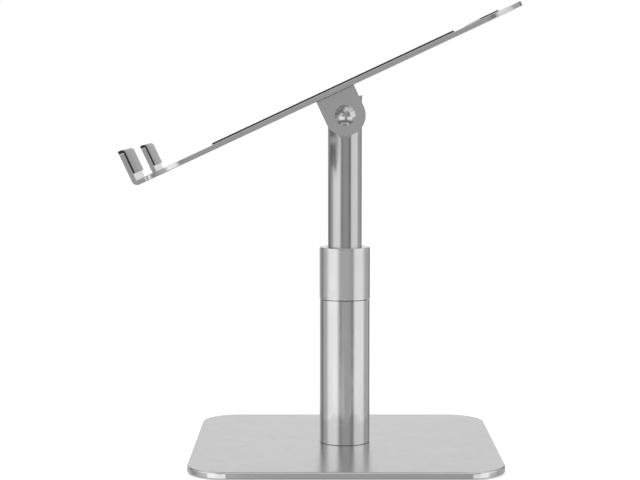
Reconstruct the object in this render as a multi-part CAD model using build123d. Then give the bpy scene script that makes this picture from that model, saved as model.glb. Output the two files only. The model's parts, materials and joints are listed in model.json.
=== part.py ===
"""Laptop stand: heavy square base, telescopic column with a screw-down clamp collar,
swivelling mast, friction tilt hinge and a slotted tray with two front hooks.

Frame: millimetres, +Z up.  The origin is the centre of the underside of the base mat.
+X runs along the tilt hinge to the user's right, +Y points to the rear of the stand.
"""
import os
from math import sqrt

from build123d import *

# ---- driving dimensions --------------------------------------------------------------
# base
BASE_SIDE = 220.0
BASE_CORNER = 28.0
BASE_THICK = 4.7
BASE_TOP_ROUND = 1.2
BASE_BOTTOM_ROUND = 0.6
MAT_THICK = 1.0
MAT_INSET = 6.0

# column
COLUMN_OD = 37.0
COLUMN_BORE = 28.2
GASKET_THICK = 0.3
GASKET_INSET = 0.2
COLUMN_TOP_ABOVE_PLATE = 105.7
NECK_OD = 33.0
NECK_TALL = 28.1
THREAD_PITCH = 1.5
THREAD_DEPTH = 0.6
THREAD_START = 3.0
THREAD_RUNOUT = 1.0
PLUG_TALL = 8.5
FOOT_SCREW_PCD = 16.0
FOOT_SCREW_LONG = 9.0
FOOT_SCREW_ANGLE = 45.0
SCREW_DIA = 4.0
SCREW_HEAD_DIA = 7.8
SCREW_SOCKET = 2.5
SCREW_SOCKET_DEEP = 1.6
SCREW_COUNT = 4

# clamp collar
COLLAR_GAP = 0.7
COLLAR_TALL = 37.7
COLLAR_EDGE = 0.6
COLLAR_LIP = 4.5
COLLAR_LIP_GAP = 0.3
COLLET_SLOTS = 6
COLLET_SLOT_WIDE = 1.0
COLLET_SOLID_TALL = 14.0
COLLET_ABOVE_RING = 0.5
CONE_TALL = 5.0
CONE_FOOT_RADIUS = 15.5
CONE_TOP_RADIUS = 13.5
WEDGE_ABOVE_NECK = 0.8

# mast
MAST_OD = 25.0
MAST_WALL = 2.0
MAST_TRAVEL = 75.0
MAST_FOOT_GAP = 0.8
GLIDE_TALL = 10.0
GLIDE_BEVEL = 0.4
RING_THICK = 1.0
RING_FROM_END = 0.8
RING_SEAT_DEEP = 0.5
RING_PROUD = 1.0
RING_MOUTH = 4.0
FLAT_HALF = 11.6
FLAT_CUTTER_RADIUS = 6.2
FLAT_BELOW_PIVOT = 17.0
FLAT_CUTTER_DEEP = 5.0
MAST_REAR_RIM = 14.5
MAST_FRONT_RIM = 7.6
BLOCK_BELOW_PIVOT = 15.0
BLOCK_BELOW_RIM = 1.6
BLOCK_BEVEL = 0.6

# tilt hinge
PIVOT_Z = 245.9
REST_TILT = 25.0
EAR_WIDE = 29.7
EAR_THICK = 2.5
BRACKET_BEND = 0.8
BRACKET_SCREW_X = 6.5
BRACKET_SCREW_Y = 9.5
FRICTION_THICK = 0.4
FRICTION_OD = 22.0
BOLT_DIA = 8.0
BOLT_HEAD_DIA = 14.9
BOLT_HEAD_TALL = 4.4
BOLT_HEAD_RIM = 0.9
BOLT_TAIL = 9.5
BOLT_TAIL_BEVEL = 0.8
BUSH_OD = 10.0
WASHER_OD = 16.0
WASHER_THICK = 1.2
SPRING_OD = 15.0
SPRING_THICK = 0.7
SPRING_DISH = 0.4
NUT_ACROSS_FLATS = 13.0
NUT_HEX_TALL = 6.0
NUT_BEVEL = 2.4
NUT_DOME_RADIUS = 5.6
NUT_BORE_DEEP = 8.2

# tray
SHEET = 3.3
TRAY_UNDERSIDE = 17.4
TRAY_HALF_WIDE = 125.0
TRAY_REAR = 138.2
TRAY_FRONT_OUTER = -140.1
TRAY_FRONT_MIDDLE = -136.1
TRAY_CORNER = 32.0
TRAY_EDGE_ROUND = 0.35
HOOK_INNER_X = 42.5
HOOK_OUTER_X = 100.5
HOOK_FACE = -149.7
HOOK_TALL = 24.2
HOOK_BEND_OUTER = 3.8
HOOK_TIP_ROUND = 1.5
HOOK_ROOT_ROUND = 2.5
VENT_ROWS = (-84.0, -48.0, 44.0, 84.0)
VENT_LONG = 196.0
VENT_WIDE = 8.4
VENT_END_ROUND = 3.6
RECESS_LONG = 40.0
RECESS_WIDE = 22.0
RECESS_DEEP = 0.7
RECESS_CORNER = 2.0
SCREW_HEAD_SUNK = 0.1

# silicone pads
PAD_THICK = 1.2
PAD_EDGE_ROUND = 0.35
PAD_CORNER = 1.4
SIDE_PAD_LONG = 175.4
SIDE_PAD_WIDE = 10.0
SIDE_PAD_CENTRE = -0.8
PAD_EDGE_INSET = 1.0
REAR_PAD_LONG = 136.0
REAR_PAD_WIDE = 14.0
REAR_PAD_CENTRE = 118.3
HOOK_PAD_THICK = 1.3
HOOK_PAD_FOOT = 8.3
HOOK_PAD_INSET = 0.5
HOOK_PAD_RIM = 0.5
HOOK_CAP_THICK = 1.9
HOOK_CAP_ROLL = 2.6

# fits
RUN = 0.05
SLIDE = 0.1

# ---- worked-out levels ---------------------------------------------------------------
PLATE_BOTTOM = MAT_THICK
PLATE_TOP = PLATE_BOTTOM + BASE_THICK
TUBE_BOTTOM = PLATE_TOP + GASKET_THICK
TUBE_TOP = PLATE_TOP + COLUMN_TOP_ABOVE_PLATE
NECK_TOP = TUBE_TOP + NECK_TALL
COLLAR_BOTTOM = TUBE_TOP + COLLAR_GAP
COLLAR_TOP = COLLAR_BOTTOM + COLLAR_TALL
PLUG_TOP = PLATE_TOP + PLUG_TALL
MAST_BOTTOM = PLUG_TOP + MAST_TRAVEL + MAST_FOOT_GAP
LOWER_RING = MAST_BOTTOM + RING_FROM_END
GLIDE_BOTTOM = LOWER_RING + RING_THICK + SLIDE
GLIDE_TOP = GLIDE_BOTTOM + GLIDE_TALL
UPPER_RING = GLIDE_TOP + SLIDE
COLLET_BOTTOM = UPPER_RING + RING_THICK + COLLET_ABOVE_RING
MAST_RADIUS = MAST_OD / 2
MAST_BORE = MAST_OD - 2 * MAST_WALL
EAR_INNER = FLAT_HALF + RUN + FRICTION_THICK + RUN
EAR_OUTER = EAR_INNER + EAR_THICK
SPRING_TALL = SPRING_THICK + SPRING_DISH
TRAY_TOP = TRAY_UNDERSIDE + SHEET
BORE_RADIUS = BOLT_DIA / 2 + RUN
HEAD = Pos(0, 0, PIVOT_Z) * Rot(REST_TILT, 0, 0)


# ---- shared builders -----------------------------------------------------------------
def tube(outer_radius, inner_radius, bottom, top):
    """Round tube about +Z between two levels."""
    tall = top - bottom
    ring = Cylinder(outer_radius, tall) - Cylinder(inner_radius, tall + 1)
    return Pos(0, 0, (bottom + top) / 2) * ring


def turned(points):
    """Solid of revolution about +Z from a closed (radius, height) outline."""
    outline = Polyline(*[(radius, 0, height) for radius, height in points], close=True)
    return revolve(make_face(outline), Axis.Z)


def slab(long_x, long_y, corner, bottom, top):
    """Flat plate with rounded plan corners between two levels."""
    plan = RectangleRounded(long_x, long_y, corner)
    return Pos(0, 0, bottom) * extrude(plan, top - bottom)


def along_x(radius, start, end):
    """Round bar along X between two stations."""
    bar = Rot(0, 90, 0) * Cylinder(radius, end - start)
    return Pos((start + end) / 2, 0, 0) * bar


def hexagon(across_flats):
    return RegularPolygon(across_flats / 2, 6, major_radius=False)


def countersunk_screw(long):
    """Flat-head socket screw pointing down -Z, head face at z = 0."""
    head_tall = (SCREW_HEAD_DIA - SCREW_DIA) / 2
    shank = Pos(0, 0, -long / 2) * Cylinder(SCREW_DIA / 2, long)
    head = Pos(0, 0, -head_tall / 2) * Cone(SCREW_DIA / 2, SCREW_HEAD_DIA / 2, head_tall)
    socket = Pos(0, 0, -SCREW_SOCKET_DEEP) * extrude(hexagon(SCREW_SOCKET), 2 * SCREW_SOCKET_DEEP)
    return shank + head - socket


def countersink(through):
    """Cutter for a countersunk screw hole going down -Z from z = 0."""
    gap = RUN
    head_tall = (SCREW_HEAD_DIA - SCREW_DIA) / 2
    hole = Pos(0, 0, -through / 2) * Cylinder(SCREW_DIA / 2 + gap, through + 2)
    cone = Pos(0, 0, -head_tall / 2) * Cone(
        SCREW_DIA / 2 + gap, SCREW_HEAD_DIA / 2 + gap, head_tall + 2 * gap
    )
    mouth = Pos(0, 0, 1) * Cylinder(SCREW_HEAD_DIA / 2 + gap, 2)
    return hole + cone + mouth


def foot_screw_ring():
    return PolarLocations(FOOT_SCREW_PCD / 2, SCREW_COUNT, start_angle=FOOT_SCREW_ANGLE)


def foot_screw_places():
    """Upside-down screw seats under the base plate."""
    return [Pos(0, 0, PLATE_BOTTOM) * place * Rot(180, 0, 0) for place in foot_screw_ring()]


# ---- base and column -----------------------------------------------------------------
def base_plate():
    plate = slab(BASE_SIDE, BASE_SIDE, BASE_CORNER, PLATE_BOTTOM, PLATE_TOP)
    rims = plate.edges().group_by(Axis.Z)
    plate = fillet(rims[-1], BASE_TOP_ROUND)
    plate = fillet(plate.edges().group_by(Axis.Z)[0], BASE_BOTTOM_ROUND)
    for place in foot_screw_places():
        plate -= place * countersink(BASE_THICK)
    return plate


def base_mat():
    side = BASE_SIDE - 2 * MAT_INSET
    return slab(side, side, BASE_CORNER - MAT_INSET, 0, MAT_THICK)


def column_gasket():
    return tube(COLUMN_OD / 2 - GASKET_INSET, COLUMN_BORE / 2, PLATE_TOP, TUBE_BOTTOM)


def column_plug():
    """Tapped plug pressed into the column foot; the base screws pull on it."""
    plug = Pos(0, 0, PLATE_TOP + PLUG_TALL / 2) * Cylinder(COLUMN_BORE / 2, PLUG_TALL)
    for place in foot_screw_ring():
        plug -= Pos(0, 0, PLATE_TOP) * place * Cylinder(SCREW_DIA / 2 + RUN, 2 * FOOT_SCREW_LONG)
    return plug


def column_screws():
    screw = countersunk_screw(FOOT_SCREW_LONG)
    return Compound(children=[place * screw for place in foot_screw_places()])


def outer_tube():
    """Thick-walled column with a turned and threaded neck under the collar."""
    body = tube(COLUMN_OD / 2, COLUMN_BORE / 2, TUBE_BOTTOM, TUBE_TOP)
    neck = tube(NECK_OD / 2, COLUMN_BORE / 2, TUBE_TOP - 1, NECK_TOP)
    column = body + neck
    turns = int((NECK_TALL - THREAD_START - THREAD_RUNOUT) / THREAD_PITCH)
    for turn in range(turns):
        column -= thread_groove(TUBE_TOP + THREAD_START + turn * THREAD_PITCH)
    return column


def thread_groove(level):
    """One V groove of the neck thread, as wide as it is deep at the neck's surface."""
    root = NECK_OD / 2 - THREAD_DEPTH
    mouth = root + 2 * THREAD_DEPTH
    return turned([(root, level), (mouth, level - THREAD_DEPTH), (mouth, level + THREAD_DEPTH)])


# ---- clamp collar --------------------------------------------------------------------
def collet_sleeve():
    """Slit plastic sleeve that the collar squeezes onto the mast."""
    inner = MAST_RADIUS + RUN
    outer = COLUMN_BORE / 2 - RUN
    sleeve = turned(
        [
            (inner, COLLET_BOTTOM),
            (outer, COLLET_BOTTOM),
            (outer, NECK_TOP),
            (CONE_FOOT_RADIUS, NECK_TOP),
            (CONE_TOP_RADIUS, NECK_TOP + CONE_TALL),
            (inner, NECK_TOP + CONE_TALL),
        ]
    )
    slit_tall = NECK_TOP + CONE_TALL - COLLET_BOTTOM - COLLET_SOLID_TALL
    slit = Pos(MAST_RADIUS, 0, NECK_TOP + CONE_TALL - slit_tall / 2) * Box(
        MAST_RADIUS, COLLET_SLOT_WIDE, slit_tall + 1
    )
    for place in PolarLocations(0, COLLET_SLOTS):
        sleeve -= place * slit
    return sleeve


def cone_radius(level):
    """Outside radius of the collet's cone at a level."""
    fall = (CONE_FOOT_RADIUS - CONE_TOP_RADIUS) / CONE_TALL
    return CONE_FOOT_RADIUS - fall * (level - NECK_TOP)


def wedge_ring():
    """Slip ring between the turning collar and the collet's cone."""
    bottom = NECK_TOP + WEDGE_ABOVE_NECK
    top = COLLAR_TOP - COLLAR_LIP - SLIDE
    outer = NECK_OD / 2 - SLIDE
    return turned(
        [
            (cone_radius(bottom) + RUN, bottom),
            (outer, bottom),
            (outer, top),
            (cone_radius(top) + RUN, top),
        ]
    )


def lock_collar():
    outer = COLUMN_OD / 2
    bore = NECK_OD / 2 + RUN
    lip = MAST_RADIUS + COLLAR_LIP_GAP
    lip_level = COLLAR_TOP - COLLAR_LIP
    return turned(
        [
            (bore, COLLAR_BOTTOM + COLLAR_EDGE),
            (bore + COLLAR_EDGE, COLLAR_BOTTOM),
            (outer - COLLAR_EDGE, COLLAR_BOTTOM),
            (outer, COLLAR_BOTTOM + COLLAR_EDGE),
            (outer, COLLAR_TOP - COLLAR_EDGE),
            (outer - COLLAR_EDGE, COLLAR_TOP),
            (lip + COLLAR_EDGE, COLLAR_TOP),
            (lip, COLLAR_TOP - COLLAR_EDGE),
            (lip, lip_level),
            (bore, lip_level),
        ]
    )


# ---- mast ----------------------------------------------------------------------------
def mast_tube():
    """Inner tube: mitred top, two milled hinge flats, ring grooves at the foot."""
    top = PIVOT_Z + MAST_REAR_RIM
    mast = tube(MAST_RADIUS, MAST_BORE / 2, MAST_BOTTOM, top)
    mast -= mitre_cutter()
    for side in (-1, 1):
        mast -= Pos(0, 0, PIVOT_Z) * flat_cutter(side)
    mast -= Pos(0, 0, PIVOT_Z) * along_x(BUSH_OD / 2, -MAST_OD, MAST_OD)
    for level in (LOWER_RING, UPPER_RING):
        mast -= tube(MAST_OD, MAST_RADIUS - RING_SEAT_DEEP, level - RUN, level + RING_THICK + RUN)
    return mast


def mitre_cutter():
    """Block above the sloping cut of the mast's top."""
    drop = MAST_REAR_RIM - MAST_FRONT_RIM
    middle = (MAST_REAR_RIM + MAST_FRONT_RIM) / 2
    outline = Polyline(
        (0, -MAST_OD, middle - drop),
        (0, MAST_OD, middle + drop),
        (0, MAST_OD, MAST_OD + drop),
        (0, -MAST_OD, MAST_OD + drop),
        close=True,
    )
    block = extrude(make_face(outline), MAST_OD, dir=(1, 0, 0), both=True)
    return Pos(0, 0, PIVOT_Z) * block


def flat_cutter(side):
    """Cutter for one hinge flat, ending in the cutter's round below the pivot."""
    start = FLAT_CUTTER_RADIUS - FLAT_BELOW_PIVOT
    tall = MAST_OD - start
    half = FLAT_CUTTER_DEEP / 2
    block = Pos(0, 0, tall / 2) * Box(FLAT_CUTTER_DEEP, 2 * FLAT_CUTTER_RADIUS, tall)
    nose = along_x(FLAT_CUTTER_RADIUS, -half, half)
    return Pos(side * (FLAT_HALF + half), 0, start) * (block + nose)


def glide_bush():
    bush = tube(COLUMN_BORE / 2 - RUN, MAST_RADIUS + RUN, GLIDE_BOTTOM, GLIDE_TOP)
    rims = bush.edges().group_by(Axis.Z)
    return chamfer(rims[0] + rims[-1], GLIDE_BEVEL)


def retaining_rings():
    """Two open spring rings that carry the glide bush on the mast."""
    rings = []
    for level in (LOWER_RING, UPPER_RING):
        ring = tube(MAST_RADIUS + RING_PROUD, MAST_RADIUS - RING_SEAT_DEEP, level, level + RING_THICK)
        ring -= Pos(0, MAST_RADIUS, level) * Box(RING_MOUTH, 4 * RING_PROUD, 4 * RING_THICK)
        rings.append(ring)
    return Compound(children=rings)


def pivot_block():
    """Solid plug in the mast's head, so that the hinge bolt cannot crush the tube."""
    above = MAST_FRONT_RIM - BLOCK_BELOW_RIM
    tall = BLOCK_BELOW_PIVOT + above
    plug = Pos(0, 0, PIVOT_Z + above - tall / 2) * Cylinder(MAST_BORE / 2, tall)
    plug = chamfer(plug.edges().group_by(Axis.Z)[-1], BLOCK_BEVEL)
    return plug - Pos(0, 0, PIVOT_Z) * along_x(BUSH_OD / 2, -MAST_OD, MAST_OD)


def pivot_bush():
    sleeve = along_x(BUSH_OD / 2, -FLAT_HALF, FLAT_HALF)
    sleeve -= along_x(BORE_RADIUS, -MAST_OD, MAST_OD)
    return Pos(0, 0, PIVOT_Z) * sleeve


# ---- tilt hinge (modelled level about the pivot, then tilted) ---------------------------
def pivot_bolt():
    """Round-head hinge bolt: smooth dome on the right, threaded end on the left."""
    shank = along_x(BOLT_DIA / 2, -EAR_OUTER - BOLT_TAIL, EAR_OUTER + BOLT_HEAD_RIM / 2)
    shank = chamfer(shank.edges().group_by(Axis.X)[0], BOLT_TAIL_BEVEL)
    return HEAD * (shank + domed_head())


def domed_head():
    """Low dome with a short straight rim, seated on the right ear."""
    rim = BOLT_HEAD_DIA / 2
    rise = BOLT_HEAD_TALL - BOLT_HEAD_RIM
    ball = (rim * rim + rise * rise) / (2 * rise)
    half_way = (sqrt(ball**2 - (ball - rise / 2) ** 2), 0, BOLT_HEAD_RIM + rise / 2)
    profile = make_face(
        [
            Line((0, 0, 0), (rim, 0, 0)),
            Line((rim, 0, 0), (rim, 0, BOLT_HEAD_RIM)),
            ThreePointArc((rim, 0, BOLT_HEAD_RIM), half_way, (0, 0, BOLT_HEAD_TALL)),
            Line((0, 0, BOLT_HEAD_TALL), (0, 0, 0)),
        ]
    )
    dome = revolve(profile, Axis.Z)
    return Pos(EAR_OUTER, 0, 0) * Rot(0, 90, 0) * dome


def washer_x(outside, start, end):
    """Flat washer on the hinge bolt, of an outside diameter, between two stations along X."""
    return along_x(outside / 2, start, end) - along_x(BORE_RADIUS, start - 1, end + 1)


def friction_washers():
    start = FLAT_HALF + RUN
    right = washer_x(FRICTION_OD, start, start + FRICTION_THICK)
    left = washer_x(FRICTION_OD, -start - FRICTION_THICK, -start)
    return Compound(children=[HEAD * left, HEAD * right])


def nut_washer():
    return HEAD * washer_x(WASHER_OD, -EAR_OUTER - WASHER_THICK, -EAR_OUTER)


def spring_washers():
    """Pair of dished springs, facing each other, that keep the hinge tight."""
    seat = -EAR_OUTER - WASHER_THICK
    rim = SPRING_OD / 2
    near = turned(
        [
            (BORE_RADIUS, -SPRING_DISH),
            (rim, 0),
            (rim, -SPRING_THICK),
            (BORE_RADIUS, -SPRING_TALL),
        ]
    )
    far = turned(
        [
            (BORE_RADIUS, -SPRING_TALL),
            (rim, -SPRING_TALL - SPRING_DISH),
            (rim, -2 * SPRING_TALL),
            (BORE_RADIUS, -SPRING_TALL - SPRING_THICK),
        ]
    )
    return Compound(children=[HEAD * Pos(seat, 0, 0) * Rot(0, 90, 0) * dish for dish in (near, far)])


def pivot_nut():
    """Hexagon nut with a domed cap over the bolt's end."""
    seat = EAR_OUTER + WASHER_THICK + 2 * SPRING_TALL
    prism = extrude(hexagon(NUT_ACROSS_FLATS), NUT_HEX_TALL)
    bevel = Cone(NUT_ACROSS_FLATS / 2 + NUT_BEVEL, NUT_ACROSS_FLATS / 2, NUT_HEX_TALL)
    ball = Pos(0, 0, NUT_HEX_TALL) * Sphere(NUT_DOME_RADIUS)
    above = Pos(0, 0, NUT_HEX_TALL + NUT_DOME_RADIUS) * Box(*[2 * NUT_DOME_RADIUS] * 3)
    nut = (prism & Pos(0, 0, NUT_HEX_TALL / 2) * bevel) + (ball & above)
    nut -= Cylinder(BORE_RADIUS, 2 * NUT_BORE_DEEP)
    return HEAD * Pos(-seat, 0, 0) * Rot(0, -90, 0) * nut


def tilt_bracket():
    """Bent U bracket: web under the tray and one rounded ear each side of the mast."""
    web_bottom = TRAY_UNDERSIDE - EAR_THICK
    web = Pos(0, 0, (web_bottom + TRAY_UNDERSIDE) / 2) * Box(2 * EAR_OUTER, EAR_WIDE, EAR_THICK)
    bracket = web
    for side in (-1, 1):
        middle = side * (EAR_INNER + EAR_OUTER) / 2
        ear = Pos(middle, 0, TRAY_UNDERSIDE / 2) * Box(EAR_THICK, EAR_WIDE, TRAY_UNDERSIDE)
        nose = Pos(middle, 0, 0) * along_x(EAR_WIDE / 2, -EAR_THICK / 2, EAR_THICK / 2)
        bracket += ear + nose
    bends = bracket.edges().filter_by(Axis.Y).group_by(Axis.Z)[-1]
    bracket = fillet(bends, BRACKET_BEND)
    bracket -= along_x(BORE_RADIUS, -2 * EAR_OUTER, 2 * EAR_OUTER)
    for place in bracket_screw_places():
        bracket -= place * countersink(TRAY_TOP)
    return HEAD * bracket


def bracket_screw_places():
    level = TRAY_TOP - RECESS_DEEP - SCREW_HEAD_SUNK
    grid = GridLocations(2 * BRACKET_SCREW_X, 2 * BRACKET_SCREW_Y, 2, 2)
    return [Pos(0, 0, level) * place for place in grid]


def bracket_screws():
    screw = countersunk_screw(SHEET + EAR_THICK - RECESS_DEEP - 3 * SCREW_HEAD_SUNK)
    return Compound(children=[HEAD * place * screw for place in bracket_screw_places()])


# ---- tray ----------------------------------------------------------------------------
def tray_plan():
    """Plan of the flat sheet, with the two straps that become the hooks."""
    bend_start = HOOK_FACE + HOOK_BEND_OUTER
    long_y = TRAY_REAR - TRAY_FRONT_OUTER
    middle_y = (TRAY_REAR + TRAY_FRONT_OUTER) / 2
    plan = Pos(0, middle_y) * RectangleRounded(2 * TRAY_HALF_WIDE, long_y, TRAY_CORNER)
    step = TRAY_FRONT_MIDDLE - TRAY_FRONT_OUTER
    plan -= Pos(0, TRAY_FRONT_OUTER) * Rectangle(2 * HOOK_INNER_X, 2 * step)
    strap_wide = HOOK_OUTER_X - HOOK_INNER_X
    strap_middle = (HOOK_OUTER_X + HOOK_INNER_X) / 2
    strap_long = TRAY_FRONT_MIDDLE - bend_start + step
    for side in (-1, 1):
        plan += Pos(side * strap_middle, bend_start + strap_long / 2) * Rectangle(strap_wide, strap_long)
    roots = [
        corner
        for corner in plan.vertices()
        if abs(abs(corner.X) - strap_middle) < strap_wide / 2 + 0.01 and corner.Y > bend_start + 1
    ]
    plan = fillet(roots, HOOK_ROOT_ROUND)
    for row in VENT_ROWS:
        plan -= Pos(0, row) * RectangleRounded(VENT_LONG, VENT_WIDE, VENT_END_ROUND)
    return plan


def hook_upright(side):
    """Bend and upright of one hook, standing on the front end of its strap."""
    inner = HOOK_BEND_OUTER - SHEET
    bend_y = HOOK_FACE + HOOK_BEND_OUTER
    bend_z = TRAY_UNDERSIDE + HOOK_BEND_OUTER
    wide = HOOK_OUTER_X - HOOK_INNER_X
    middle = side * (HOOK_OUTER_X + HOOK_INNER_X) / 2
    tip = TRAY_UNDERSIDE + HOOK_TALL
    ring = along_x(HOOK_BEND_OUTER, -wide / 2, wide / 2) - along_x(inner, -wide, wide)
    quarter = ring & Pos(0, -HOOK_BEND_OUTER, -HOOK_BEND_OUTER) * Box(
        2 * wide, 2 * HOOK_BEND_OUTER, 2 * HOOK_BEND_OUTER
    )
    bend = Pos(middle, bend_y, bend_z) * quarter
    upright = Pos(middle, HOOK_FACE + SHEET / 2, (bend_z + tip) / 2) * Box(wide, SHEET, tip - bend_z)
    corners = upright.edges().filter_by(Axis.Y).group_by(Axis.Z)[-1]
    return bend + fillet(corners, HOOK_TIP_ROUND)


def skin_edges(sheet):
    """Edges round the sheet's two faces: neither thickness edges nor bend lines."""
    skipped = (SHEET, HOOK_OUTER_X - HOOK_INNER_X)
    return [edge for edge in sheet.edges() if all(abs(edge.length - long) > 0.01 for long in skipped)]


def tray_plate():
    sheet = Pos(0, 0, TRAY_UNDERSIDE) * extrude(tray_plan(), SHEET)
    for side in (-1, 1):
        sheet += hook_upright(side)
    sheet = fillet(skin_edges(sheet), TRAY_EDGE_ROUND)
    sheet -= slab(RECESS_WIDE, RECESS_LONG, RECESS_CORNER, TRAY_TOP - RECESS_DEEP, TRAY_TOP + 1)
    for place in bracket_screw_places():
        sheet -= place * countersink(TRAY_TOP)
    return HEAD * sheet


# ---- silicone pads -------------------------------------------------------------------
def flat_pad(long_x, long_y, middle_x, middle_y):
    pad = slab(long_x, long_y, PAD_CORNER, TRAY_TOP, TRAY_TOP + PAD_THICK)
    pad = fillet(pad.edges().group_by(Axis.Z)[-1], PAD_EDGE_ROUND)
    return HEAD * Pos(middle_x, middle_y, 0) * pad


def side_pad(side):
    middle = side * (TRAY_HALF_WIDE - PAD_EDGE_INSET - SIDE_PAD_WIDE / 2)
    return flat_pad(SIDE_PAD_WIDE, SIDE_PAD_LONG, middle, SIDE_PAD_CENTRE)


def rear_pad():
    return flat_pad(REAR_PAD_LONG, REAR_PAD_WIDE, 0, REAR_PAD_CENTRE)


def hook_pad(side):
    """Pad on a hook's inner face that wraps over the hook's tip."""
    wide = HOOK_OUTER_X - HOOK_INNER_X - 2 * HOOK_PAD_INSET
    middle = side * (HOOK_OUTER_X + HOOK_INNER_X) / 2
    foot = TRAY_UNDERSIDE + HOOK_PAD_FOOT
    tip = TRAY_UNDERSIDE + HOOK_TALL
    cap = tip + HOOK_CAP_THICK
    back = HOOK_FACE + SHEET
    face = back + HOOK_PAD_THICK
    section = Polyline(
        (0, back, foot),
        (0, face, foot),
        (0, face, cap),
        (0, HOOK_FACE, cap),
        (0, HOOK_FACE, tip),
        (0, back, tip),
        close=True,
    )
    pad = extrude(make_face(section), wide / 2, dir=(1, 0, 0), both=True)
    rolled = pad.edges().filter_by(Axis.X).sort_by(lambda edge: edge.center().Y + edge.center().Z)[-1]
    pad = fillet(rolled, HOOK_CAP_ROLL)
    rims = [edge for edge in pad.edges() if edge.center().Y > face - HOOK_CAP_ROLL and abs(edge.center().X) > 1]
    pad = Pos(middle, 0, 0) * fillet(rims, HOOK_PAD_RIM)
    return HEAD * pad


PARTS = {
    "base_plate": base_plate,
    "base_mat": base_mat,
    "column_gasket": column_gasket,
    "column_plug": column_plug,
    "column_screws": column_screws,
    "outer_tube": outer_tube,
    "collet_sleeve": collet_sleeve,
    "wedge_ring": wedge_ring,
    "lock_collar": lock_collar,
    "glide_bush": glide_bush,
    "mast_tube": mast_tube,
    "retaining_rings": retaining_rings,
    "pivot_block": pivot_block,
    "pivot_bush": pivot_bush,
    "pivot_bolt": pivot_bolt,
    "friction_washers": friction_washers,
    "nut_washer": nut_washer,
    "spring_washers": spring_washers,
    "pivot_nut": pivot_nut,
    "tilt_bracket": tilt_bracket,
    "bracket_screws": bracket_screws,
    "tray_plate": tray_plate,
    "side_pad_left": lambda: side_pad(-1),
    "side_pad_right": lambda: side_pad(1),
    "rear_pad": rear_pad,
    "hook_pad_left": lambda: hook_pad(-1),
    "hook_pad_right": lambda: hook_pad(1),
}


os.makedirs("parts", exist_ok=True)
for name, build in PARTS.items():
    export_step(build(), f"parts/{name}.step")
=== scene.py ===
"""Laptop stand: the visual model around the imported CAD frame.

Metres, +Z up.  The stand's tilt hinge runs along +X, and the laptop hooks are towards -Y.
The knurled collar, the base mat and the silicone pads of the tray and its hooks are built
here, in place of their plain CAD solids.  Every other part is its CAD node with a finish.
"""

import json
from math import cos, pi, radians, sin

import bmesh
import bpy
from mathutils import Matrix, Vector


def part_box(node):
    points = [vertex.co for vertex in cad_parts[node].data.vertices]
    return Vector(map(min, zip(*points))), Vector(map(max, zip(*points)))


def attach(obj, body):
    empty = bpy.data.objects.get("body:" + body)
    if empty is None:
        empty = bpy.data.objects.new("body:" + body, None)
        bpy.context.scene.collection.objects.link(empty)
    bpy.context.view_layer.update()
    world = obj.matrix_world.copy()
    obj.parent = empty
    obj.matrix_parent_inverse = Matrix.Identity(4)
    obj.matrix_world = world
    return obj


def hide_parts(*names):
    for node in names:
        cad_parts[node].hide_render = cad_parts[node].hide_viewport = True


MM = 0.001

# ---- the stand's own sizes, as the CAD has them ------------------------------------------
REST_TILT = radians(25)
TRAY_TOP = 20.7 * MM
SIDE_PAD = (10 * MM, 175.4 * MM)
REAR_PAD = (136 * MM, 14 * MM)
PAD_THICK = 1.2 * MM
PAD_CORNER = 1.4 * MM
COLLAR_BORE = 16.55 * MM
COLLAR_LIP_BORE = 12.8 * MM
COLLAR_LIP = 4.5 * MM
MAT_CORNER = 22 * MM

# ---- edges that the CAD leaves sharp or rounds a little differently ----------------------
PAD_ROLL = 0.4 * MM
PAD_CROWN = 0.12 * MM
HOOK_PAD_ROLL = 0.2 * MM
MAST_BROKEN_EDGE = 0.2 * MM

# ---- painted shade: the column's metal is dark from just outside its threaded neck inwards, for the shaded gap under the collar ---
NECK_SHADE_RADIUS = 16.6 * MM
NECK_SHADE_TONE = 0.15

# ---- knurled collar: its outside and its foot lie just beyond its CAD solid --------------
COLLAR_SKIRT = 0.2 * MM
COLLAR_BEVEL = 0.45 * MM
COLLAR_FOOT_BEVEL = 0.1 * MM
COLLAR_LAND_SUNK = 0.02 * MM
COLLAR_RELIEF = 0.12 * MM
KNURLS_AROUND = 58
KNURL_DEEP = 0.022 * MM
KNURL_FLAT = 0.82
KNURL_PROUD = 0.15 * MM
KNURL_MARGIN = 0.6 * MM

# ---- grain of the metals, in cells per metre, and how dark its darkest part is -----------
CLOUD_CELLS = 45
SMEAR_CELLS = 160
TURNED_CELLS = (400, 400, 9000)
CLOUD_SHADE = 0.955
EDGE_CLOUD_SHADE = 0.97
EDGE_SMEARS = 0.02

# ---- studio ------------------------------------------------------------------------------
CAMERA_PLACE = (1.268905, -0.016542, 0.256146)
CAMERA_YAW = radians(-0.0714)
CAMERA_PITCH = radians(4.573)
CAMERA_LENS = 97.77
SENSOR_WIDE = 36
FLOOR_RADIUS = 80
FLOOR_GLOW = 0.48
LAMP_PLACE = (0.3, -0.2, 1.9)
LAMP_TARGET = (0, 0, 0.1)
LAMP_WIDE = 1.6
LAMP_WATTS = 14

# What stands round the object, by bearing from +X towards +Y in degrees, and how bright it
# is: a grey wall behind the camera, a tall softbox each side, dark gaps and a pale rear wall.
STUDIO = (
    (-180, 0.78),
    (-164, 0.74),
    (-148, 0.50),
    (-136, 0.30),
    (-126, 0.17),
    (-118, 0.19),
    (-112, 0.40),
    (-93, 0.42),
    (-78, 0.88),
    (-38, 0.92),
    (-24, 0.34),
    (-18, 0.22),
    (-11, 0.35),
    (16, 0.36),
    (27, 0.29),
    (33, 0.15),
    (39, 0.30),
    (47, 0.80),
    (90, 0.84),
    (104, 0.40),
    (138, 0.40),
    (144, 0.15),
    (150, 0.16),
    (158, 0.45),
    (168, 0.74),
    (180, 0.78),
)

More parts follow.
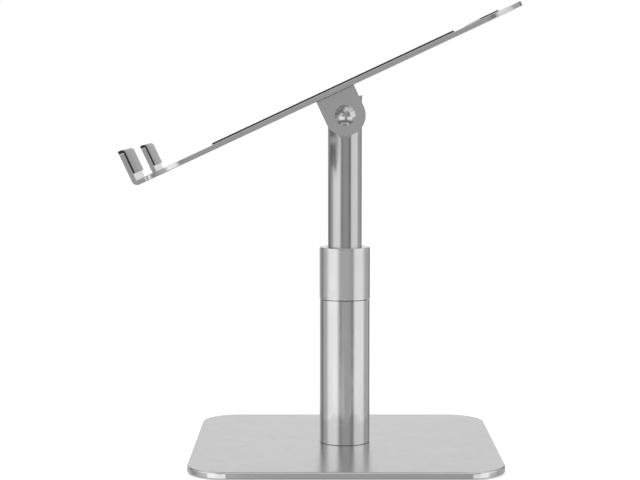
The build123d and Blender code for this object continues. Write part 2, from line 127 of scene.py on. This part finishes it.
# The same below the horizon, where the pale table top comes close on both sides.
TABLE = (
    (-180, 0.50),
    (-135, 0.50),
    (-112, 0.25),
    (-84, 0.42),
    (-60, 0.50),
    (-54, 0.98),
    (-6, 0.98),
    (-3, 0.34),
    (18, 0.32),
    (24, 0.85),
    (66, 0.90),
    (76, 0.45),
    (100, 0.34),
    (180, 0.50),
)
TABLE_BELOW = (-0.206, -0.200)

# Straight under the stand it is shaded; overhead a grey gap parts the walls from the ceiling.
SHADED_BELOW = (-0.75, -0.50)
SHADE = 0.20
GAP_FROM = (0.40, 0.47)
GAP = 0.50
CEILING_FROM = (0.62, 0.80)
CEILING = 0.85

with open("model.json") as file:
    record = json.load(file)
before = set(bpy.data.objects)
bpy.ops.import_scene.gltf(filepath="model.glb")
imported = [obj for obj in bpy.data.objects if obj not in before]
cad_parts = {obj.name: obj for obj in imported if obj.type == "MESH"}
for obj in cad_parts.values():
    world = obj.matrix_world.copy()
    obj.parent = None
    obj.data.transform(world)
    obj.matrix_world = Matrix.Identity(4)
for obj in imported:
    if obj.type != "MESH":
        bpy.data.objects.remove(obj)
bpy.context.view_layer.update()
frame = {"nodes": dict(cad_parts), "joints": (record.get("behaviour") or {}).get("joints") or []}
NODES = frame["nodes"]
PIVOT = next(Vector(joint["pos_m"]) for joint in frame["joints"] if joint["name"] == "tray_tilt")
HEAD = Matrix.Translation(PIVOT) @ Matrix.Rotation(REST_TILT, 4, "X")


# ---- node helpers ------------------------------------------------------------------------
def add(tree, kind, place=(0, 0), **settings):
    """New node; a setting that is none of the node's attributes names one of its inputs."""
    node = tree.nodes.new(kind)
    node.location = place
    for key, value in settings.items():
        if hasattr(node, key):
            setattr(node, key, value)
        else:
            node.inputs[key.replace("_", " ").title()].default_value = value
    return node


def new_material(name):
    """Material with a Principled shader, and its object coordinates in metres."""
    made = bpy.data.materials.new(name)
    made.use_nodes = True
    tree = made.node_tree
    tree.nodes.clear()
    shader = add(tree, "ShaderNodeBsdfPrincipled", (300, 0))
    output = add(tree, "ShaderNodeOutputMaterial", (600, 0))
    place = add(tree, "ShaderNodeTexCoord", (-1100, 0)).outputs["Object"]
    tree.links.new(shader.outputs["BSDF"], output.inputs["Surface"])
    return made, tree, shader, place


def stretched(tree, place, scale):
    """The coordinates scaled per axis, for grain that runs one way."""
    mapping = add(tree, "ShaderNodeMapping", (-900, 0))
    mapping.inputs["Scale"].default_value = scale
    tree.links.new(place, mapping.inputs["Vector"])
    return mapping.outputs["Vector"]


def noise(tree, place, scale, detail=3.0, rough=0.5):
    """Noise of a scale in cells per metre, as a value round 0.5."""
    texture = add(tree, "ShaderNodeTexNoise", (-700, 0), scale=scale, detail=detail, roughness=rough)
    tree.links.new(place, texture.inputs["Vector"])
    return texture.outputs["Fac"]


def spread(tree, value, low, high):
    """A noise value's middle range mapped onto low to high."""
    mapped = add(tree, "ShaderNodeMapRange", (-450, 0))
    mapped.inputs["From Min"].default_value = 0.3
    mapped.inputs["From Max"].default_value = 0.7
    mapped.inputs["To Min"].default_value = low
    mapped.inputs["To Max"].default_value = high
    tree.links.new(value, mapped.inputs["Value"])
    return mapped.outputs["Result"]


def tinted(tree, value, dark, light):
    """Colour between two tones by a noise value."""
    mix = add(tree, "ShaderNodeMix", (-200, 200), data_type="RGBA")
    mix.inputs["A"].default_value = (*dark, 1)
    mix.inputs["B"].default_value = (*light, 1)
    tree.links.new(spread(tree, value, 0, 1), mix.inputs["Factor"])
    return mix.outputs["Result"]


def bumped(tree, height, deep, below=None):
    """Bump of a real depth in metres, on top of another bump."""
    bump = add(tree, "ShaderNodeBump", (0, -300))
    bump.inputs["Distance"].default_value = deep
    bump.inputs["Strength"].default_value = 1.0
    tree.links.new(height, bump.inputs["Height"])
    if below is not None:
        tree.links.new(below, bump.inputs["Normal"])
    return bump.outputs["Normal"]


# ---- materials ---------------------------------------------------------------------------
def clouded(tree, place, dark, light):
    """Colour in a faint cloud between two tones."""
    return tinted(tree, noise(tree, place, CLOUD_CELLS, 4), dark, light)


def smeared(tree, place, rough, smears):
    """Roughness that wanders a little to either side."""
    return spread(tree, noise(tree, place, SMEAR_CELLS, 5, 0.6), rough - smears, rough + smears)


def metal(name, tone, rough, grain=4000, deep=0.2e-6, lines=None, tint=(1.0, 1.0, 1.0), smears=0.03):
    """Metal with a faint cloud in its tone and gloss, a fine grain, and brushed or turned lines."""
    made, tree, shader, place = new_material(name)
    light = [tone * part for part in tint]
    dark = [part * CLOUD_SHADE for part in light]
    tree.links.new(clouded(tree, place, dark, light), shader.inputs["Base Color"])
    tree.links.new(smeared(tree, place, rough, smears), shader.inputs["Roughness"])
    normal = bumped(tree, noise(tree, place, grain, 2), deep)
    if lines is not None:
        run = stretched(tree, place, lines)
        normal = bumped(tree, noise(tree, run, 1.0, 3), 2 * deep, normal)
    tree.links.new(normal, shader.inputs["Normal"])
    shader.inputs["Metallic"].default_value = 1.0
    return made


def polished_and_painted_bright_edges(made, up, rough, tone):
    """The machined edges of a plate are smoother than its blasted or coated faces, and their colour
    is raised to a brighter tone as a painted highlight.
    An edge is whatever faces more than 60 degrees away from up."""
    tree = made.node_tree
    shader = tree.nodes["Principled BSDF"]
    place = tree.nodes["Texture Coordinate"].outputs["Object"]
    facing = add(tree, "ShaderNodeVectorMath", (-900, -500), operation="DOT_PRODUCT")
    tree.links.new(tree.nodes["Texture Coordinate"].outputs["Normal"], facing.inputs[0])
    facing.inputs[1].default_value = up
    either = add(tree, "ShaderNodeMath", (-700, -500), operation="ABSOLUTE")
    tree.links.new(facing.outputs["Value"], either.inputs[0])
    edge = add(tree, "ShaderNodeMath", (-450, -500), operation="LESS_THAN")
    edge.inputs[1].default_value = cos(radians(60))
    tree.links.new(either.outputs["Value"], edge.inputs[0])
    gloss = smeared(tree, place, rough, EDGE_SMEARS)
    # painted highlight: the edges' colour is raised to this brighter tone
    painted_bright = clouded(tree, place, (tone * EDGE_CLOUD_SHADE,) * 3, (tone,) * 3)
    for socket, kind, finish in (("Roughness", "FLOAT", gloss), ("Base Color", "RGBA", painted_bright)):
        mix = add(tree, "ShaderNodeMix", (0, -100), data_type=kind)
        tree.links.new(edge.outputs["Value"], mix.inputs["Factor"])
        tree.links.new(shader.inputs[socket].links[0].from_socket, mix.inputs["A"])
        tree.links.new(finish, mix.inputs["B"])
        tree.links.new(mix.outputs["Result"], shader.inputs[socket])


def painted_shade_inside(made, radius, tone):
    """Paints shade onto a turned part's metal inside a radius, for the shaded gap between the collar
    and the column.
    """
    tree = made.node_tree
    place = tree.nodes["Texture Coordinate"].outputs["Object"]
    shader = tree.nodes["Principled BSDF"]
    distance = add(tree, "ShaderNodeVectorMath", (-700, 500), operation="LENGTH")
    tree.links.new(stretched(tree, place, (1, 1, 0)), distance.inputs[0])
    inside = add(tree, "ShaderNodeMath", (-450, 500), operation="LESS_THAN")
    inside.inputs[1].default_value = radius
    tree.links.new(distance.outputs["Value"], inside.inputs[0])
    mix = add(tree, "ShaderNodeMix", (0, 400), data_type="RGBA")
    tree.links.new(inside.outputs["Value"], mix.inputs["Factor"])
    tree.links.new(shader.inputs["Base Color"].links[0].from_socket, mix.inputs["A"])
    mix.inputs["B"].default_value = (tone, tone, tone, 1)
    tree.links.new(mix.outputs["Result"], shader.inputs["Base Color"])


def rubber(name, dark, light, rough, grain=2200, deep=6e-6):
    """Matt silicone with a moulded skin texture and a dusty bloom."""
    made, tree, shader, place = new_material(name)
    bloom = noise(tree, place, 260, 5, 0.65)
    tree.links.new(tinted(tree, bloom, dark, light), shader.inputs["Base Color"])
    gloss = spread(tree, noise(tree, place, 700, 3), rough - 0.06, rough + 0.06)
    tree.links.new(gloss, shader.inputs["Roughness"])
    tree.links.new(bumped(tree, noise(tree, place, grain, 3), deep), shader.inputs["Normal"])
    return made


def plastic(name, dark, light, rough):
    """Moulded plastic with a fine spark-eroded texture."""
    return rubber(name, dark, light, rough, grain=3500, deep=2e-6)


def dress(node, made):
    """Gives a CAD node a finish in every material slot."""
    data = NODES[node].data
    for index in range(max(1, len(data.materials))):
        if index < len(data.materials):
            data.materials[index] = made
        else:
            data.materials.append(made)


def broken_edges(node, wide, sharper_than=radians(40)):
    """Takes the sharpness off a machined part's edges."""
    edges = NODES[node].modifiers.new("broken_edges", "BEVEL")
    edges.width = wide
    edges.segments = 2
    edges.limit_method = "ANGLE"
    edges.angle_limit = sharper_than
    edges.harden_normals = True


# ---- mesh helpers ------------------------------------------------------------------------
def new_piece(name, mesh, made, body, slot, *replaced):
    """Object from a finished bmesh, riding on its body in place of its CAD nodes."""
    bmesh.ops.recalc_face_normals(mesh, faces=mesh.faces)
    data = bpy.data.meshes.new(name)
    mesh.to_mesh(data)
    mesh.free()
    piece = bpy.data.objects.new(name, data)
    bpy.context.scene.collection.objects.link(piece)
    data.materials.append(made)
    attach(piece, body)
    if replaced:
        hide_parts(*replaced)
    return piece


def bridge(mesh, first, second):
    """Smooth band of quads between two closed rings of the same number of points."""
    count = len(first)
    for index in range(count):
        after = (index + 1) % count
        face = mesh.faces.new((first[index], first[after], second[after], second[index]))
        face.smooth = True


def ring(mesh, radius, height, count, turn=0.0):
    """Circle of points about +Z."""
    points = []
    for index in range(count):
        angle = 2 * pi * (index + turn) / count
        points.append(mesh.verts.new((radius * cos(angle), radius * sin(angle), height)))
    return points


def rounded_outline(wide, long, corner, steps=8):
    """Rounded rectangle about the origin, anticlockwise, as flat (x, y) points."""
    points = []
    for quarter, (side_x, side_y) in enumerate(((1, 1), (-1, 1), (-1, -1), (1, -1))):
        middle_x = side_x * (wide / 2 - corner)
        middle_y = side_y * (long / 2 - corner)
        for step in range(steps + 1):
            angle = (quarter + step / steps) * pi / 2
            points.append((middle_x + corner * cos(angle), middle_y + corner * sin(angle)))
    return points


def layered_pad(mesh, layers):
    """Closed pad from rings of (x, y, z) points, capped below and above."""
    rings = [[mesh.verts.new(point) for point in layer] for layer in layers]
    for below, above in zip(rings, rings[1:]):
        bridge(mesh, below, above)
    mesh.faces.new(rings[0])
    mesh.faces.new(rings[-1])


# ---- knurled collar ----------------------------------------------------------------------
def knurl_rows(mesh, radius, bottom, top):
    """Diamond knurl between two levels: flat-topped diamonds with V grooves between them.
    Returns the lowest and highest ring of groove crossings."""
    across = 2 * pi * radius / KNURLS_AROUND
    rows = 2 * round((top - bottom) / across)
    rise = (top - bottom) / rows
    floor_radius = radius - KNURL_DEEP
    crossings = []
    for row in range(rows + 1):
        crossings.append(ring(mesh, floor_radius, bottom + row * rise, KNURLS_AROUND, row % 2 / 2))
    for row in range(1, rows):
        for index in range(KNURLS_AROUND):
            raise_diamond(mesh, crossings, row, index, radius, bottom + row * rise, rise)
    for row, next_row in ((0, 1), (rows, rows - 1)):
        for index in range(KNURLS_AROUND):
            after = (index + 1) % KNURLS_AROUND
            mesh.faces.new((crossings[row][index], crossings[row][after], crossings[next_row][index]))
    return crossings[0], crossings[-1]


def raise_diamond(mesh, crossings, row, index, radius, level, rise):
    """One diamond, whose left and right corners are neighbours in a row of crossings."""
    after = (index + 1) % KNURLS_AROUND
    odd = row % 2
    beside = after if odd else index
    corners = (
        crossings[row][index],
        crossings[row - 1][beside],
        crossings[row][after],
        crossings[row + 1][beside],
    )
    step = 2 * pi / KNURLS_AROUND
    middle = (index + odd / 2 + 0.5) * step
    half = KNURL_FLAT * step / 2
    tall = KNURL_FLAT * rise
    crown = []
    for turn, lift in ((-half, 0), (0, -tall), (half, 0), (0, tall)):
        angle = middle + turn
        crown.append(mesh.verts.new((radius * cos(angle), radius * sin(angle), level + lift)))
    left, bottom, right, top = crown
    for half_crown in ((left, bottom, top), (bottom, right, top)):
        mesh.faces.new(half_crown).smooth = True
    for corner in range(4):
        beyond = (corner + 1) % 4
        mesh.faces.new((corners[corner], corners[beyond], crown[beyond], crown[corner]))


def knurled_collar(made):
    """Turned ring with a knurled outside, bevelled edges and a lip over the wedge ring."""
    low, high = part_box("lock_collar")
    bottom = low.z - COLLAR_SKIRT
    top = high.z
    lip_level = top - COLLAR_LIP
    radius = high.x + KNURL_PROUD
    land = radius - COLLAR_LAND_SUNK
    groove = radius - KNURL_DEEP
    knurl_bottom = bottom + KNURL_MARGIN
    knurl_top = top - KNURL_MARGIN
    mesh = bmesh.new()
    first, last = knurl_rows(mesh, radius, knurl_bottom, knurl_top)
    outline = (
        (groove, knurl_top + COLLAR_RELIEF),
        (land, knurl_top + COLLAR_RELIEF + KNURL_DEEP),
        (land, top - COLLAR_BEVEL),
        (land - COLLAR_BEVEL / 3, top - COLLAR_BEVEL / 4),
        (land - COLLAR_BEVEL, top),
        (COLLAR_LIP_BORE + COLLAR_BEVEL, top),
        (COLLAR_LIP_BORE + COLLAR_BEVEL / 4, top - COLLAR_BEVEL / 4),
        (COLLAR_LIP_BORE, top - COLLAR_BEVEL),
        (COLLAR_LIP_BORE, lip_level),
        (COLLAR_BORE, lip_level),
        (COLLAR_BORE, bottom + COLLAR_FOOT_BEVEL),
        (COLLAR_BORE + COLLAR_FOOT_BEVEL, bottom),
        (land - COLLAR_FOOT_BEVEL, bottom),
        (land, bottom + COLLAR_FOOT_BEVEL),
        (land, knurl_bottom - COLLAR_RELIEF - KNURL_DEEP),
        (groove, knurl_bottom - COLLAR_RELIEF),
    )
    rings = [last] + [ring(mesh, *point, KNURLS_AROUND) for point in outline] + [first]
    for below, above in zip(rings, rings[1:]):
        bridge(mesh, below, above)
    sharpen(new_piece("knurled_collar", mesh, made, "collar", "collar_aluminium", "lock_collar"))


def sharpen(piece, angle=radians(32)):
    """Marks the hard edges of a smooth piece, so that its flats stay flat."""
    mesh = bmesh.new()
    mesh.from_mesh(piece.data)
    for edge in mesh.edges:
        if len(edge.link_faces) == 2 and edge.calc_face_angle(0) > angle:
            edge.smooth = False
    mesh.to_mesh(piece.data)
    mesh.free()


# ---- silicone ----------------------------------------------------------------------------
def crowned_pad(name, made, wide, long, place):
    """Moulded strip: square foot, rolled edge and a top that rises slightly to its middle."""
    steps = 5
    shoulder = PAD_THICK - PAD_CROWN
    mesh = bmesh.new()
    layers = [[(x, y, 0) for x, y in rounded_outline(wide, long, PAD_CORNER)]]
    for step in range(steps + 1):
        angle = step / steps * pi / 2
        inset = PAD_ROLL * (1 - cos(angle))
        level = shoulder - PAD_ROLL + PAD_ROLL * sin(angle)
        outline = rounded_outline(wide - 2 * inset, long - 2 * inset, PAD_CORNER - inset)
        layers.append([(x, y, level) for x, y in outline])
    crown_reach = 0.4 * (min(wide, long) / 2 - PAD_ROLL)
    for share in (0.35, 0.7, 1.0):
        inset = PAD_ROLL + share * crown_reach
        outline = rounded_outline(wide - 2 * inset, long - 2 * inset, PAD_CORNER - PAD_ROLL)
        level = PAD_THICK - PAD_CROWN * (1 - share) ** 2
        layers.append([(x, y, level) for x, y in outline])
    layered_pad(mesh, layers)
    mesh.transform(place)
    piece = new_piece(name + "_moulded", mesh, made, "tray", "grey_silicone", name)
    sharpen(piece, radians(40))


def tray_pads(made):
    """The strip along each side of the tray and the one along its rear."""
    local = HEAD.inverted()
    for name in ("side_pad_left", "side_pad_right", "rear_pad"):
        low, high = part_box(name)
        middle = local @ ((low + high) / 2)
        wide, long = REAR_PAD if name == "rear_pad" else SIDE_PAD
        seat = HEAD @ Matrix.Translation((middle.x, middle.y, TRAY_TOP))
        crowned_pad(name, made, wide, long, seat)


def hook_pads(made):
    """Pads that wrap the hooks' tips: the CAD shape with rolled edges."""
    for side in ("left", "right"):
        node = NODES["hook_pad_" + side]
        mesh = bmesh.new()
        mesh.from_mesh(node.data)
        bmesh.ops.remove_doubles(mesh, verts=mesh.verts, dist=1e-6)
        bmesh.ops.dissolve_limit(mesh, angle_limit=radians(1), verts=mesh.verts, edges=mesh.edges)
        hard = [edge for edge in mesh.edges if edge.calc_face_angle(0) > radians(50)]
        bmesh.ops.bevel(
            mesh, geom=hard, offset=HOOK_PAD_ROLL, segments=2,
            affect="EDGES", profile=0.6, clamp_overlap=True,
        )
        for face in mesh.faces:
            face.smooth = True
        piece = new_piece(
            f"hook_pad_{side}_moulded", mesh, made, "tray", "grey_silicone", "hook_pad_" + side
        )
        sharpen(piece)


def base_mat(made):
    """Sheet under the base, with a rolled edge top and bottom."""
    low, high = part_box("base_mat")
    side = high.x - low.x
    thick = high.z - low.z
    roll = thick / 3
    mesh = bmesh.new()
    layers = []
    for step in range(5):
        angle = step / 4 * pi / 2
        inset = roll * (1 - sin(angle))
        span = side - 2 * inset
        outline = rounded_outline(span, span, MAT_CORNER - inset)
        layers.append([(x, y, low.z + roll * (1 - cos(angle))) for x, y in outline])
    mirrored = [[(x, y, low.z + high.z - z) for x, y, z in layer] for layer in reversed(layers)]
    layered_pad(mesh, layers + mirrored)
    piece = new_piece("base_mat_moulded", mesh, made, "base", "base_silicone", "base_mat")
    sharpen(piece, radians(40))


# ---- stage -------------------------------------------------------------------------------
def floor():
    """Wide pale ground.  Its glow makes it as white as the background; metal doesn't mirror it."""
    mesh = bmesh.new()
    bmesh.ops.create_circle(mesh, cap_ends=True, segments=96, radius=FLOOR_RADIUS)
    data = bpy.data.meshes.new("floor")
    mesh.to_mesh(data)
    mesh.free()
    plane = bpy.data.objects.new("floor", data)
    bpy.context.scene.collection.objects.link(plane)
    made, tree, shader, place = new_material("pale_floor")
    shade = tinted(tree, noise(tree, place, 6, 3), (0.86, 0.86, 0.86), (0.88, 0.88, 0.88))
    tree.links.new(shade, shader.inputs["Base Color"])
    shader.inputs["Roughness"].default_value = 0.9
    shader.inputs["Specular IOR Level"].default_value = 0.0
    shader.inputs["Emission Color"].default_value = (1, 1, 1, 1)
    shader.inputs["Emission Strength"].default_value = FLOOR_GLOW
    data.materials.append(made)
    plane.visible_glossy = False


def bands(tree, bearing, stops_wanted):
    """Grey tones round the compass, from (degrees, brightness) stops."""
    ramp = add(tree, "ShaderNodeValToRGB", (-500, 0))
    stops = ramp.color_ramp.elements
    while len(stops) > 1:
        stops.remove(stops[-1])
    for index, (angle, painted_bright) in enumerate(stops_wanted):
        share = (angle + 180) / 360
        stop = stops[0] if index == 0 else stops.new(share)
        stop.position = share
        stop.color = (painted_bright, painted_bright, painted_bright, 1)
    tree.links.new(bearing, ramp.inputs["Fac"])
    return ramp.outputs["Color"]


def grey(tree, painted_bright):
    """A grey colour, as an output to link from."""
    tone = add(tree, "ShaderNodeRGB", (-500, -500))
    tone.outputs["Color"].default_value = (painted_bright, painted_bright, painted_bright, 1)
    return tone.outputs["Color"]


def height_blend(tree, height, span, below, above):
    """One colour below a span of heights, another above it."""
    share = add(tree, "ShaderNodeMapRange", (-300, -300), interpolation_type="SMOOTHSTEP")
    share.inputs["From Min"].default_value, share.inputs["From Max"].default_value = span
    tree.links.new(height, share.inputs["Value"])
    mix = add(tree, "ShaderNodeMix", (-200, 0), data_type="RGBA")
    tree.links.new(share.outputs["Result"], mix.inputs["Factor"])
    tree.links.new(below, mix.inputs["A"])
    tree.links.new(above, mix.inputs["B"])
    return mix.outputs["Result"]


def studio():
    """The room that the metal mirrors, a white background, and one large soft overhead light."""
    world = bpy.data.worlds.new("studio")
    bpy.context.scene.world = world
    world.use_nodes = True
    tree = world.node_tree
    tree.nodes.clear()
    bearing = add(tree, "ShaderNodeTexGradient", (-700, 0), gradient_type="RADIAL")
    place = add(tree, "ShaderNodeTexCoord", (-900, 0))
    tree.links.new(place.outputs["Generated"], bearing.inputs["Vector"])
    level = bands(tree, bearing.outputs["Fac"], STUDIO)
    table = bands(tree, bearing.outputs["Fac"], TABLE)
    split = add(tree, "ShaderNodeSeparateXYZ", (-700, -300))
    tree.links.new(place.outputs["Generated"], split.inputs["Vector"])
    height = split.outputs["Z"]
    everything = height_blend(tree, height, SHADED_BELOW, grey(tree, SHADE), table)
    everything = height_blend(tree, height, TABLE_BELOW, everything, level)
    everything = height_blend(tree, height, GAP_FROM, everything, grey(tree, GAP))
    everything = height_blend(tree, height, CEILING_FROM, everything, grey(tree, CEILING))
    room = add(tree, "ShaderNodeBackground", (0, 0))
    tree.links.new(everything, room.inputs["Color"])
    white = add(tree, "ShaderNodeBackground", (0, -200))
    white.inputs["Color"].default_value = (1, 1, 1, 1)
    seen = add(tree, "ShaderNodeLightPath", (0, 300))
    either = add(tree, "ShaderNodeMixShader", (250, 0))
    output = add(tree, "ShaderNodeOutputWorld", (450, 0))
    tree.links.new(seen.outputs["Is Camera Ray"], either.inputs[0])
    tree.links.new(room.outputs["Background"], either.inputs[1])
    tree.links.new(white.outputs["Background"], either.inputs[2])
    tree.links.new(either.outputs["Shader"], output.inputs["Surface"])

    light = bpy.data.lights.new("overhead", "AREA")
    light.shape = "DISK"
    light.size = LAMP_WIDE
    light.energy = LAMP_WATTS
    lamp = bpy.data.objects.new("overhead", light)
    lamp.location = LAMP_PLACE
    lamp.rotation_euler = (Vector(LAMP_TARGET) - lamp.location).to_track_quat("-Z", "Y").to_euler()
    lamp.visible_camera = False
    lamp.visible_glossy = False
    bpy.context.scene.collection.objects.link(lamp)


def camera():
    """Side view along the tilt hinge, a little from above, through a long lens."""
    data = bpy.data.cameras.new("camera")
    data.lens = CAMERA_LENS
    data.sensor_width = SENSOR_WIDE
    data.clip_start = 0.01
    data.clip_end = 100
    eye = bpy.data.objects.new("camera", data)
    eye.location = CAMERA_PLACE
    eye.rotation_euler = (pi / 2 - CAMERA_PITCH, 0, pi / 2 - CAMERA_YAW)
    bpy.context.scene.collection.objects.link(eye)
    bpy.context.scene.camera = eye


# ---- build -------------------------------------------------------------------------------
camera()
studio()
floor()
bpy.context.scene.view_settings.view_transform = "Standard"

column_metal = metal("turned_aluminium", 0.90, 0.15, lines=TURNED_CELLS, deep=0.1e-6)
# painted shade on the column's neck, standing in for the shaded gap under the collar
painted_shade_inside(column_metal, NECK_SHADE_RADIUS, NECK_SHADE_TONE)
mast_metal = metal("mast_aluminium", 0.72, 0.15, lines=TURNED_CELLS, deep=0.1e-6)
collar_metal = metal("collar_aluminium", 0.90, 0.14, deep=0.1e-6)
sheet_metal = metal("blasted_aluminium", 0.86, 0.27, grain=3000, deep=0.1e-6)
polished_and_painted_bright_edges(sheet_metal, HEAD.to_3x3() @ Vector((0, 0, 1)), 0.14, 0.86)
base_metal = metal("base_coat", 0.73, 0.24, grain=3000, deep=0.15e-6)
# the base's edges get a brighter colour here than its top: painted highlight, besides their smoother
# gloss
polished_and_painted_bright_edges(base_metal, (0, 0, 1), 0.08, 0.92)
chrome = metal("chrome", 0.78, 0.09, smears=0.015, deep=0.02e-6)
steel = metal("zinc_steel", 0.62, 0.24, tint=(1.0, 1.0, 0.97))
bronze = metal("bronze", 0.72, 0.3, tint=(1.0, 0.72, 0.42))
silicone = rubber("pad_silicone", (0.018, 0.020, 0.022), (0.028, 0.031, 0.034), 0.17, deep=0.6e-6)
mat_silicone = rubber("mat_silicone", (0.020, 0.020, 0.021), (0.034, 0.034, 0.035), 0.55)
gasket_silicone = rubber("gasket_silicone", (0.10, 0.10, 0.10), (0.14, 0.14, 0.14), 0.4)
acetal = plastic("acetal", (0.018, 0.018, 0.019), (0.026, 0.026, 0.027), 0.38)
nylon = plastic("nylon", (0.70, 0.69, 0.66), (0.76, 0.75, 0.72), 0.4)

FINISHES = {
    "base_plate": base_metal,
    "column_gasket": gasket_silicone,
    "column_plug": steel,
    "column_screws": steel,
    "outer_tube": column_metal,
    "collet_sleeve": acetal,
    "wedge_ring": nylon,
    "glide_bush": acetal,
    "mast_tube": mast_metal,
    "retaining_rings": steel,
    "pivot_block": steel,
    "pivot_bush": bronze,
    "pivot_bolt": chrome,
    "friction_washers": nylon,
    "nut_washer": steel,
    "spring_washers": steel,
    "pivot_nut": chrome,
    "tilt_bracket": sheet_metal,
    "bracket_screws": steel,
    "tray_plate": sheet_metal,
}
for node_name, finish in FINISHES.items():
    dress(node_name, finish)

broken_edges("mast_tube", MAST_BROKEN_EDGE)
knurled_collar(collar_metal)
tray_pads(silicone)
hook_pads(silicone)
base_mat(mat_silicone)
